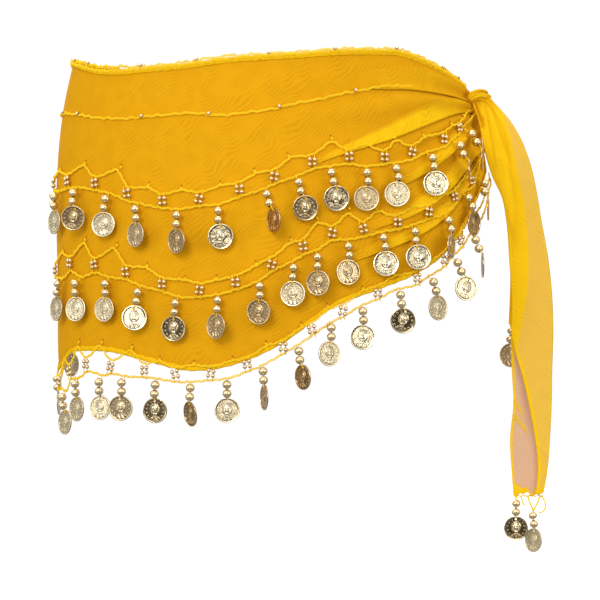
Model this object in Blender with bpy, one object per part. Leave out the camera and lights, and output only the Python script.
"""A belly dance hip scarf, worn round the hips and tied at one side, with its coins.

Sizes are in millimetres and degrees. Round the hips, 0 is the side with the knot (+X), 90 the
front (-Y), 180 the far hip and 270 the back. Heights are above the knot's level.
"""

from collections import namedtuple

import bmesh
import bpy
import numpy as np

MM = 0.001

# The general figure that the scarf is shaped on: level sections, each an ellipse.
Level = namedtuple("Level", "height half_width half_depth centre_x")
FIGURE = (
    Level(-260, 168, 118, 2.0),
    Level(-192, 177, 126, 6.4),
    Level(-148, 180.5, 128, 10.0),
    Level(-108, 178, 126, 6.4),
    Level(-60, 172.5, 120, 1.0),
    Level(0, 160, 111, -5.6),
    Level(36, 151, 105, -6.8),
    Level(60, 146, 102, -7.0),
)

# Heights of the scarf's lines round the hips, and how far the cloth stands off the figure.
Line = namedtuple("Line", "angle top waist upper_coins middle_coins hem hem_coins stand")
LINES = (
    Line(2, 8, 2, -2, -8, -12, -15, 6.0),
    Line(8, 13, 0, -6, -28, -46, -54, 4.0),
    Line(16, 19, -1, -11, -44, -60, -68, 1.5),
    Line(26, 26, 3, -21, -60, -76, -88, 0.0),
    Line(36, 32.5, 7, -31, -73, -98, -104, 0.0),
    Line(46, 37.5, 9.5, -39, -85, -120, -124, 0.0),
    Line(56, 37.5, 8, -46, -94, -135, -139, 0.0),
    Line(67, 36.5, 2.5, -46, -101, -147, -150.5, 0.0),
    Line(78, 34, -4, -49.5, -106, -160.5, -169, 0.0),
    Line(89, 32, -10.5, -61.5, -123, -187, -191.5, 0.0),
    Line(100, 30, -14.5, -73, -141, -203, -207.5, 0.0),
    Line(112, 26, -13, -80, -148.5, -208.5, -213, 0.0),
    Line(124, 24, -15, -78.5, -141, -202, -210, 0.0),
    Line(136, 23, -15.5, -69, -131, -195, -207.5, 0.0),
    Line(146, 24.5, -13, -63.5, -128, -194, -205.5, 0.0),
    Line(156, 28.5, -10, -62.5, -127, -196, -211, 0.0),
    Line(166, 32, -8.5, -63, -130.5, -207, -219, 0.0),
    Line(180, 34, -8, -63, -132, -210, -221, 0.0),
    Line(190, 34, -8, -60, -126, -198, -208, 0.0),
    Line(200, 34, -8, -56, -113, -173, -182, 0.0),
    Line(215, 33, -9, -49, -97, -147, -156, 0.0),
    Line(230, 32, -10, -44, -87, -133, -142, 0.0),
    Line(250, 31, -10, -39, -80, -125, -134, 0.0),
    Line(270, 30, -9, -35, -74, -113, -121, 0.0),
    Line(290, 29, -7, -31, -64, -97, -105, 0.0),
    Line(310, 27, -4, -25, -51, -76, -83, 0.0),
    Line(328, 22, -1, -17, -35, -54, -60, 0.0),
    Line(342, 16, 1, -10, -22, -35, -40, 1.5),
    Line(352, 12, 2, -5, -13, -20, -24, 4.0),
    Line(358, 8, 3, -2, -8, -12, -15, 6.0),
)

# The cloth's rows from its top edge to its hem. Every other row is raised into a fold that runs
# out of the knot and dies away round the hips.
Row = namedtuple("Row", "down raised reach")
FRONT_ROWS = (
    Row(0.00, 0.0, 30),
    Row(0.09, 4.5, 80),
    Row(0.17, 0.0, 30),
    Row(0.25, 6.0, 125),
    Row(0.32, 0.0, 30),
    Row(0.40, 4.0, 85),
    Row(0.48, 0.0, 30),
    Row(0.57, 5.5, 100),
    Row(0.65, 0.0, 30),
    Row(0.74, 5.0, 90),
    Row(0.82, 0.0, 30),
    Row(0.91, 4.0, 75),
    Row(1.00, 0.0, 30),
)
BACK_ROWS = (
    Row(0.00, 0.0, 30),
    Row(0.14, 4.0, 70),
    Row(0.26, 0.0, 30),
    Row(0.40, 5.5, 110),
    Row(0.53, 0.0, 30),
    Row(0.66, 5.0, 95),
    Row(0.78, 0.0, 30),
    Row(0.90, 4.0, 75),
    Row(1.00, 0.0, 30),
)
FIRST_ANGLE = 2.0
SEAM_ANGLE = 186.0
LAST_ANGLE = 358.0
COLUMN_STEP = 5.4
FOLDS_SPREAD = 18.0
STAND_FADES = 50.0
WALL = 1.2
SEAM_GAP = 0.3

# Crochet lace: two chains joined by clusters of small beads, clear of the cloth that it lies on.
LACE_GAP = 1.0
CHAIN_THICK = 1.6
CHAIN_TALL = 2.2
CHAIN_OVER_CLUSTER = 4.6
CHAIN_OVER_GAP = 7.6
CHAIN_UNDER_CLUSTER = 4.6
CHAIN_UNDER_COIN = 5.4
CLUSTER_WIDE = 8.0
ROOT_WIDE = 2.4
LACE_END = 9.0
BACK_LACE_END = 336.0
LACE_CLOSES = 36.0
LEAST_OPEN = 0.4
LONGEST_GAP = 5.0

# What hangs from the lace: two round beads and a coin.
BEAD = 5.8
NECK = 1.4
COIN = 19.4
COIN_THICK = 1.3
COIN_STAND = 5.2
TURN_ROOM = 2.0
LOW_BEAD_SHARE = 0.4
BEAD_DROPS = (3.8, 10.6)
COIN_DROP = 23.5

# Each repeat of a coin row: the cluster's angle, the coin's angle, its turn out of the cloth,
# how far it leans along the row, and how far the lower chain hangs under the row's line there.
Repeat = namedtuple("Repeat", "cluster coin turn lean under")
UPPER_COINS = (
    Repeat(174, 163, -9, 0, 6),
    Repeat(157, 150, -37, 15, 4),
    Repeat(142, 136, -16, -4, 3),
    Repeat(130, 126, 20, 0, 3),
    Repeat(119, 114.5, 29, 0, 5),
    Repeat(109, 104, -10, 2, 6),
    Repeat(98.5, 92, 57, 10, 5),
    Repeat(89.5, 84, 4, 8, 5),
    Repeat(79.5, 75.5, 10, 3, 5),
    Repeat(69.5, 66, 17, -11, 7),
    Repeat(59.5, 57.5, 25, -12, 3),
    Repeat(50, 45.5, 36, -12, 2),
    Repeat(36, 33, -38, -8, 2),
    Repeat(26, 23.5, -25, -8, 2),
)
MIDDLE_COINS = (
    Repeat(172, 160, -6, -14, 9),
    Repeat(156, 149.5, -16, 2, 10),
    Repeat(143, 137, 0, -3, 7),
    Repeat(131.5, 126.5, -26, -3, 5),
    Repeat(120.5, 116, -4, -1, 5),
    Repeat(110.5, 105.5, 32, 3, 4),
    Repeat(101.5, 95.5, 18, 0, 5),
    Repeat(92.5, 87.5, 15, -3, 5),
    Repeat(84.5, 81.5, 30, -5, 7),
    Repeat(77, 73.5, -10, -9, 6),
    Repeat(69, 64.5, 19, -4, 3),
    Repeat(59.5, 55.5, 26, -7, 4),
    Repeat(49.5, 44, -34, -14, 6),
    Repeat(38.5, 35, -13, 4, -1),
    Repeat(28, 25, -28, -12, 0),
)
HEM_COINS = (
    Repeat(168, 160, -8, 6, 12),
    Repeat(157, 150.5, 0, 0, 8),
    Repeat(147, 139.5, -8, 0, 7),
    Repeat(136.5, 131, -17, -4, 5),
    Repeat(125, 121, -8, 0, 4),
    Repeat(116, 111.5, 43, 7, 4),
    Repeat(106.5, 102, -8, 2, 5),
    Repeat(97.5, 93.5, 70, 7, 5),
    Repeat(89, 85.5, 56, 12, 4),
    Repeat(82.5, 78, -24, 0, 2),
    Repeat(75.5, 71, 14, 6, 2),
    Repeat(67, 62, 20, 11, 1),
    Repeat(56, 52.5, -12, 13, 2),
    Repeat(46.5, 44, 10, 16, 1),
    Repeat(39, 34.5, -46, -12, 2),
)
BACK_FIRST = 190.0
BACK_LAST = 322.0
BACK_REPEATS = 12
BACK_COIN_AFTER = 4.6
BACK_SHIFT = 6.0
BACK_TURN = 14.0

# Crochet along the top edge, with a bead at each peak, and the chain stitched on below it.
EDGING_UNDER = 2.6
EDGING_OVER = 0.9
EDGING_PEAK = 1.6
WAIST_TALL = 2.0
WAIST_FRONT_END = 44.0
WAIST_BACK_END = 332.0
TRIM_STEP = 9.0

# The tie: a roll of cloth over the gathered ends, and two tails, each folded lengthwise.
Turn = namedtuple("Turn", "x y z radius")
KNOT = (
    Turn(153.6, -34.0, 7.2, 1.6),
    Turn(158.0, -31.0, 7.6, 3.4),
    Turn(162.6, -27.8, 7.4, 4.4),
    Turn(166.0, -24.6, 7.4, 4.6),
    Turn(167.8, -17.5, 6.2, 4.8),
    Turn(167.6, -9.0, 3.0, 4.8),
    Turn(167.6, -1.0, -1.6, 4.8),
    Turn(168.0, 6.0, -7.0, 4.4),
    Turn(168.2, 10.0, -12.0, 2.8),
)
KNOT_SIDES = 10
Width = namedtuple("Width", "height left right y thick front_edge")
LONG_TAIL = (
    Width(2.0, 163, 172.5, -26, 2.2, 0.0),
    Width(-5, 162.5, 179.5, -27, 3.0, 0.0),
    Width(-13, 164.2, 186.5, -29, 3.8, 0.0),
    Width(-26, 166.8, 194.5, -30.2, 4.4, 0.0),
    Width(-44, 171, 202, -30.2, 4.6, 0.0),
    Width(-58, 175.2, 206, -28.5, 4.6, 0.0),
    Width(-75, 183.2, 209.5, -25.5, 4.4, 0.0),
    Width(-92, 186.6, 212.5, -22.5, 4.2, 0.0),
    Width(-124, 189.6, 218.5, -18, 4.0, 0.0),
    Width(-156, 191.5, 222, -15, 4.0, 0.0),
    Width(-186, 191, 222.8, -13, 4.0, 0.02),
    Width(-202, 191.5, 222.4, -12, 4.0, 0.1),
    Width(-216, 192, 222, -11.5, 4.0, 0.32),
    Width(-236, 193, 221.8, -11, 3.8, 0.46),
    Width(-268, 190.5, 220.4, -10, 3.6, 0.62),
    Width(-290, 191.5, 218.8, -9.5, 3.4, 0.68),
    Width(-311, 193, 215.8, -9, 3.0, 0.7),
)
SHORT_TAIL = (
    Width(-12.7, 166.5, 173, 12.0, 2.2, 0.0),
    Width(-28, 173, 187, 12, 3.0, 0.0),
    Width(-58, 183, 201, 9, 3.4, 0.0),
    Width(-92, 190, 208, 7, 3.4, 0.0),
    Width(-124, 191, 211, 5, 3.4, 0.1),
    Width(-156, 190.5, 211, 4, 3.2, 0.2),
    Width(-174, 189.6, 210, 4, 3.0, 0.3),
)
FOLD_POINTS = 5
Hanger = namedtuple("Hanger", "x root turn")
LONG_TAIL_COINS = (Hanger(194.6, 1.5, 10), Hanger(208.4, 11.0, 50))
SHORT_TAIL_COINS = (Hanger(191.2, 0.8, 30),)
STRIP_TALL = 1.6
STRIP_THICK = 2.0

CLOTH_COLOUR = (0.80, 0.42, 0.012)
LACE_COLOUR = (0.86, 0.47, 0.03)
GOLD_COLOUR = (0.78, 0.60, 0.32)


def clear_scene():
    for obj in list(bpy.data.objects):
        bpy.data.objects.remove(obj, do_unlink=True)


def material(name, colour, roughness, metallic=0.0):
    made = bpy.data.materials.new(name)
    made.use_nodes = True
    shader = made.node_tree.nodes["Principled BSDF"]
    shader.inputs["Base Color"].default_value = (*colour, 1.0)
    shader.inputs["Roughness"].default_value = roughness
    shader.inputs["Metallic"].default_value = metallic
    return made


def curve(rows, column, at):
    """Value of one column at a place in the first column, on a smooth curve through the rows."""
    table = np.array(sorted(rows), float)
    x, y = table[:, 0], table[:, rows[0]._fields.index(column)]
    slope = np.gradient(y, x)
    i = np.clip(np.searchsorted(x, at) - 1, 0, len(x) - 2)
    span = x[i + 1] - x[i]
    t = np.clip((at - x[i]) / span, 0.0, 1.0)
    start = (1 + 2 * t) * (1 - t) ** 2 * y[i] + t * (1 - t) ** 2 * span * slope[i]
    return start + t * t * (3 - 2 * t) * y[i + 1] + t * t * (t - 1) * span * slope[i + 1]


def on_figure(angle, height, out):
    """Point at this angle and height, this far out of the figure, with the stand of the cloth."""
    share = float(np.clip(1 + height / STAND_FADES, 0.0, 1.0))
    out = out + curve(LINES, "stand", angle) * share
    turn = np.radians(angle)
    across = curve(FIGURE, "half_width", height) + out
    deep = curve(FIGURE, "half_depth", height) + out
    x = curve(FIGURE, "centre_x", height) + across * np.cos(turn)
    return np.array([x, -deep * np.sin(turn), height])


def along_figure(angle, height):
    """Unit directions along the row, towards the knot's side of the front, and straight out."""
    turn = np.radians(angle)
    across = curve(FIGURE, "half_width", height)
    deep = curve(FIGURE, "half_depth", height)
    along = np.array([across * np.sin(turn), deep * np.cos(turn), 0.0])
    along /= np.linalg.norm(along)
    return along, np.array([along[1], -along[0], 0.0])


def fold_height(rows, angle, down):
    """How far the folds raise the cloth here: highest near the knot, none beyond their reach."""
    from_knot = min(angle, 360.0 - angle)
    spread = min(1.0, from_knot / FOLDS_SPREAD)
    raised = [r.raised * spread * max(0.0, 1 - from_knot / r.reach) ** 1.5 for r in rows]
    return float(np.interp(down, [r.down for r in rows], raised))


def on_cloth(angle, height, out):
    """Point this far out of the cloth's inner face, over its folds."""
    rows = FRONT_ROWS if angle < SEAM_ANGLE else BACK_ROWS
    top, hem = curve(LINES, "top", angle), curve(LINES, "hem", angle)
    down = float(np.clip((top - height) / (top - hem), 0.0, 1.0))
    return on_figure(angle, height, out + fold_height(rows, angle, down))


def mesh_object(name, points, faces, paint):
    """A mesh object from points in millimetres, its faces turned outwards."""
    mesh = bpy.data.meshes.new(name)
    mesh.from_pydata([tuple(p) for p in np.array(points) * MM], [], faces)
    work = bmesh.new()
    work.from_mesh(mesh)
    bmesh.ops.recalc_face_normals(work, faces=work.faces)
    work.to_mesh(mesh)
    work.free()
    mesh.materials.append(paint)
    obj = bpy.data.objects.new(name, mesh)
    bpy.context.scene.collection.objects.link(obj)
    return obj


def smooth_shading(obj, angle=50.0):
    obj.data.shade_smooth()
    obj.data.set_sharp_from_angle(angle=np.radians(angle))


def wall_from_sheet(obj):
    """Gives an open sheet of faces its thickness, outwards from it."""
    wall = obj.modifiers.new("wall", "SOLIDIFY")
    wall.thickness = WALL * MM
    wall.offset = 1.0
    smooth_shading(obj)


def grid_faces(lines, across):
    """Quads between neighbouring lines of points, each line this many points long."""
    return [
        (i * across + j, i * across + j + 1, (i + 1) * across + j + 1, (i + 1) * across + j)
        for i in range(lines - 1)
        for j in range(across - 1)
    ]


def cloth(name, rows, start, end, paint):
    """One stretch of the scarf, from its top edge to its hem, between two angles."""
    columns = np.linspace(start, end, round((end - start) / COLUMN_STEP) + 1)
    points = []
    for angle in columns:
        top, hem = curve(LINES, "top", angle), curve(LINES, "hem", angle)
        for row in rows:
            height = top + (hem - top) * row.down
            out = fold_height(rows, angle, row.down)
            points.append(on_figure(angle, height, out))
    obj = mesh_object(name, points, grid_faces(len(columns), len(rows)), paint)
    wall_from_sheet(obj)


def angle_step(angle, length):
    """The turn, in degrees, that runs this length along the hips."""
    turn = np.radians(angle)
    half_width, half_depth = curve(FIGURE, "half_width", -90), curve(FIGURE, "half_depth", -90)
    return np.degrees(length / np.hypot(half_width * np.sin(turn), half_depth * np.cos(turn)))


class Solid:
    """Collects the points and faces of one closed solid."""

    def __init__(self):
        self.points = []
        self.faces = []

    def ring(self, points):
        """Adds a ring of points and gives their numbers."""
        first = len(self.points)
        self.points.extend(points)
        return list(range(first, len(self.points)))

    def bridge(self, ring, other):
        """Faces from one ring to the next."""
        for i in range(len(ring)):
            j = (i + 1) % len(ring)
            self.faces.append((ring[i], ring[j], other[j], other[i]))

    def loft(self, rings):
        """Faces through a run of rings, closed at both ends."""
        for ring, other in zip(rings, rings[1:]):
            self.bridge(ring, other)
        self.faces += [tuple(rings[0]), tuple(rings[-1])]

    def made(self, name, paint):
        return mesh_object(name, self.points, self.faces, paint)


def bar_section(angle, low, high):
    """Four points of a bar that lies on the cloth: inner and outer, low and high."""
    near, far = WALL + LACE_GAP, WALL + LACE_GAP + CHAIN_THICK
    corners = ((low, near), (low, far), (high, far), (high, near))
    return [on_cloth(angle, height, out) for height, out in corners]


def hanging_section(centre, along, outwards, wide, thick):
    """Four points round a place on what hangs, in the order of a root's points."""
    corners = ((-1, -1), (-1, 1), (1, 1), (1, -1))
    return [
        centre + along * wide / 2 * side + outwards * thick / 2 * face for side, face in corners
    ]


def hang_coin(solid, root, place, along, outwards, turn, lean):
    """Two beads and a coin under four root points. place gives a point at a drop and a stand,
    and a coin turned far out of the cloth stands off until its inner edge clears it."""
    turned = np.radians(turn)
    face = along * np.cos(turned) + outwards * np.sin(turned)
    normal = outwards * np.cos(turned) - along * np.sin(turned)
    lean = np.tan(np.radians(lean))
    first, second = BEAD_DROPS
    moved = max(0.0, COIN / 2 * abs(np.sin(turned)) - TURN_ROOM)
    low_bead, stand = COIN_STAND + LOW_BEAD_SHARE * moved, COIN_STAND + moved
    steps = [
        (first, BEAD, BEAD, COIN_STAND, along, outwards),
        ((first + second) / 2, NECK, NECK, COIN_STAND, along, outwards),
        (second, BEAD, BEAD, low_bead, along, outwards),
        (COIN_DROP - COIN / 2, NECK, COIN_THICK, stand, face, normal),
        (COIN_DROP - COIN * 0.21, COIN * 0.95, COIN_THICK, stand, face, normal),
        (COIN_DROP + COIN * 0.21, COIN * 0.95, COIN_THICK, stand, face, normal),
        (COIN_DROP + COIN / 2, COIN * 0.36, COIN_THICK, stand, face, normal),
    ]
    last = root
    for drop, wide, thick, out, side, front in steps:
        centre = place(drop, out) + along * drop * lean
        ring = solid.ring(hanging_section(centre, side, front, wide, thick))
        solid.bridge(last, ring)
        last = ring
    solid.faces.append(tuple(last))


def lace_columns(repeats, start, end):
    """Places where the lace changes, from start to end: an angle and what begins there."""
    columns = [(start, "gap", None)]
    for repeat in repeats:
        half = angle_step(repeat.cluster, CLUSTER_WIDE / 2)
        columns.append((repeat.cluster + half, "cluster", None))
        columns.append((repeat.cluster - half, "gap", None))
        half = angle_step(repeat.coin, ROOT_WIDE / 2)
        columns.append((repeat.coin + half, "coin", repeat))
        columns.append((repeat.coin - half, "gap", None))
    columns.append((end, "end", None))
    split = []
    for column, following in zip(columns, columns[1:]):
        split.append(column)
        pieces = int(np.ceil((column[0] - following[0]) / LONGEST_GAP))
        for angle in np.linspace(column[0], following[0], pieces + 1)[1:-1]:
            split.append((angle, "gap", None))
    return split + columns[-1:]


def lace_opening(angle):
    """How far apart the two chains run here: they draw together towards the knot."""
    return float(np.clip(min(angle, 360.0 - angle) / LACE_CLOSES, LEAST_OPEN, 1.0))


def lower_chain(repeats, angle):
    """How far under the row's line the lower chain hangs: straight runs from clusters to coins."""
    hangs = [(r.cluster, CHAIN_UNDER_CLUSTER) for r in repeats]
    hangs = sorted(hangs + [(r.coin, r.under) for r in repeats])
    return float(np.interp(angle, *zip(*hangs)))


def lace(name, line, repeats, start, end, paint):
    """One stretch of a coin row: two chains, the clusters between them and the hanging coins."""
    solid = Solid()
    columns = lace_columns(repeats, start, end)
    clusters = [angle for angle, kind, _ in columns if kind == "cluster"]
    bars = []
    for angle, kind, _ in columns:
        middle = curve(LINES, line, angle)
        near_cluster = min(abs(angle - c) for c in clusters) < angle_step(angle, CLUSTER_WIDE * 1.2)
        open_share = lace_opening(angle)
        over = open_share * (CHAIN_OVER_CLUSTER if near_cluster else CHAIN_OVER_GAP)
        under = open_share * lower_chain(repeats, angle)
        upper = solid.ring(bar_section(angle, middle + over, middle + over + CHAIN_TALL))
        lower = solid.ring(bar_section(angle, middle - under - CHAIN_TALL, middle - under))
        bars.append((upper, lower))
    for (upper, lower), (next_upper, next_lower), column in zip(bars, bars[1:], columns):
        angle, kind, repeat = column
        join_bars(solid, upper, next_upper, open_bottom=kind == "cluster")
        join_bars(solid, lower, next_lower, open_top=kind == "cluster", open_bottom=kind == "coin")
        if kind == "cluster":
            solid.faces += [
                (upper[0], next_upper[0], next_lower[3], lower[3]),
                (upper[1], next_upper[1], next_lower[2], lower[2]),
                (upper[0], upper[1], lower[2], lower[3]),
                (next_upper[0], next_upper[1], next_lower[2], next_lower[3]),
            ]
        if kind == "coin":
            root = [lower[0], lower[1], next_lower[1], next_lower[0]]
            under = repeat.under * lace_opening(repeat.coin)
            height = curve(LINES, line, repeat.coin) - under - CHAIN_TALL
            hang_from_lace(solid, root, repeat, height)
    for bar in (*bars[0], *bars[-1]):
        solid.faces.append(tuple(bar))
    solid.made(name, paint)


def join_bars(solid, bar, other, open_top=False, open_bottom=False):
    """The sides of a bar between two of its sections, less a top or bottom that is joined."""
    for i in range(4):
        if (i == 0 and open_bottom) or (i == 2 and open_top):
            continue
        j = (i + 1) % 4
        solid.faces.append((bar[i], bar[j], other[j], other[i]))


def hang_from_lace(solid, root, repeat, height):
    along, outwards = along_figure(repeat.coin, height)

    def place(drop, out):
        return on_cloth(repeat.coin, height - drop, WALL + LACE_GAP + out)

    hang_coin(solid, root, place, along, outwards, repeat.turn, repeat.lean)


def back_repeats(shift):
    """Even repeats round the back, the coins turned a little to either side."""
    angles = np.linspace(BACK_FIRST, BACK_LAST, BACK_REPEATS) + shift
    return [
        Repeat(angle + BACK_COIN_AFTER, angle, BACK_TURN * (i % 3 - 0.8), 0, CHAIN_UNDER_COIN)
        for i, angle in enumerate(angles)
    ][::-1]


def trim(name, line, low, high, peaks, start, end, paint):
    """A narrow crochet edging or chain that lies on the cloth, with peaks at every other step."""
    solid = Solid()
    columns = np.linspace(start, end, round(abs(end - start) / TRIM_STEP) + 1)
    rings = []
    for i, angle in enumerate(columns):
        middle = curve(LINES, line, angle)
        rise = peaks * (i % 2)
        rings.append(solid.ring(bar_section(angle, middle - low, middle + high + rise)))
    solid.loft(rings)
    solid.made(name, paint)


def knot(name, paint):
    """The roll over the gathered ends: a round section swept through the turns."""
    solid = Solid()
    path = np.array([(t.x, t.y, t.z) for t in KNOT])
    heading = np.gradient(path, axis=0)
    rings = []
    for centre, ahead, turn in zip(path, heading, KNOT):
        ahead = ahead / np.linalg.norm(ahead)
        side = np.cross(ahead, (0.0, 0.0, 1.0))
        side /= np.linalg.norm(side)
        up = np.cross(side, ahead)
        around = np.linspace(0, 2 * np.pi, KNOT_SIDES, endpoint=False)
        rings.append(
            solid.ring(
                [centre + turn.radius * (side * np.cos(a) + up * np.sin(a)) for a in around]
            )
        )
    solid.loft(rings)
    smooth_shading(solid.made(name, paint))


def folded_section(width):
    """A tail's section: from the front layer's free edge round the right fold to the left."""
    front = np.linspace(width.front_edge, 1.0, FOLD_POINTS + 1)[:-1]
    back = np.linspace(1.0, 0.0, FOLD_POINTS + 2)[1:]
    half = width.thick / 2
    layer = [(u, -half * (0.55 + 0.45 * np.sin(np.pi * min(1.0, u + 0.12)))) for u in front]
    layer += [(1.0, 0.0)]
    layer += [(u, half * (0.55 + 0.45 * np.sin(np.pi * u))) for u in back]
    return [
        np.array([width.left + (width.right - width.left) * u, width.y + depth, width.height])
        for u, depth in layer
    ]


def tail(name, widths, paint):
    """A hanging end of the scarf, folded lengthwise into a flattened roll that is open at the left."""
    sections = [folded_section(w) for w in widths]
    points = [p for section in sections for p in section]
    obj = mesh_object(name, points, grid_faces(len(sections), len(sections[0])), paint)
    wall_from_sheet(obj)


def tail_coins(name, width, hangers, paint):
    """A narrow strip along a tail's end, with the coins that hang from it."""
    solid = Solid()
    top = width.height - SEAM_GAP
    low = top - STRIP_TALL
    along, outwards = np.array([1.0, 0.0, 0.0]), np.array([0.0, -1.0, 0.0])
    edges = [(width.left, None)]
    for hanger in hangers:
        edges += [(hanger.x - ROOT_WIDE / 2, hanger), (hanger.x + ROOT_WIDE / 2, None)]
    edges.append((width.right, None))
    rings = []
    for x, _ in edges:
        inner, outer = width.y + STRIP_THICK / 2, width.y - STRIP_THICK / 2
        corners = ((inner, low), (outer, low), (outer, top), (inner, top))
        rings.append(solid.ring([np.array([x, y, z]) for y, z in corners]))
    for ring, other, (_, hanger) in zip(rings, rings[1:], edges):
        join_bars(solid, ring, other, open_bottom=hanger is not None)
        if hanger is None:
            continue
        start = np.array([hanger.x, width.y, low - hanger.root])

        def place(drop, out, start=start):
            return start - np.array([0.0, 0.0, drop])

        root = [ring[0], ring[1], other[1], other[0]]
        hang_coin(solid, root, place, along, outwards, hanger.turn, 0)
    solid.faces += [tuple(rings[0]), tuple(rings[-1])]
    solid.made(name, paint)


def main():
    clear_scene()
    chiffon = material("chiffon", CLOTH_COLOUR, 0.75)
    crochet = material("crochet", LACE_COLOUR, 0.8)
    gold = material("gold", GOLD_COLOUR, 0.3, 1.0)
    half_gap = angle_step(SEAM_ANGLE, SEAM_GAP)
    before, after = SEAM_ANGLE - half_gap, SEAM_ANGLE + half_gap
    cloth("front_cloth", FRONT_ROWS, FIRST_ANGLE, before, chiffon)
    cloth("back_cloth", BACK_ROWS, after, LAST_ANGLE, chiffon)
    rows = (("upper_coins", UPPER_COINS), ("middle_coins", MIDDLE_COINS), ("hem_coins", HEM_COINS))
    for line, repeats in rows:
        lace("front_" + line, line, repeats, before, LACE_END, gold)
        shift = BACK_SHIFT if line == "middle_coins" else 0.0
        lace("back_" + line, line, back_repeats(shift), BACK_LACE_END, after, gold)
    trim("front_edging", "top", EDGING_UNDER, EDGING_OVER, EDGING_PEAK, before, LACE_END, crochet)
    trim("back_edging", "top", EDGING_UNDER, EDGING_OVER, EDGING_PEAK, 360 - LACE_END, after, crochet)
    half = WAIST_TALL / 2
    trim("front_waist_chain", "waist", half, half, 0.0, before, WAIST_FRONT_END, crochet)
    trim("back_waist_chain", "waist", half, half, 0.0, WAIST_BACK_END, after, crochet)
    knot("knot", chiffon)
    tail("long_tail", LONG_TAIL, chiffon)
    tail("short_tail", SHORT_TAIL, chiffon)
    tail_coins("long_tail_coins", LONG_TAIL[-1], LONG_TAIL_COINS, gold)
    tail_coins("short_tail_coins", SHORT_TAIL[-1], SHORT_TAIL_COINS, gold)


main()
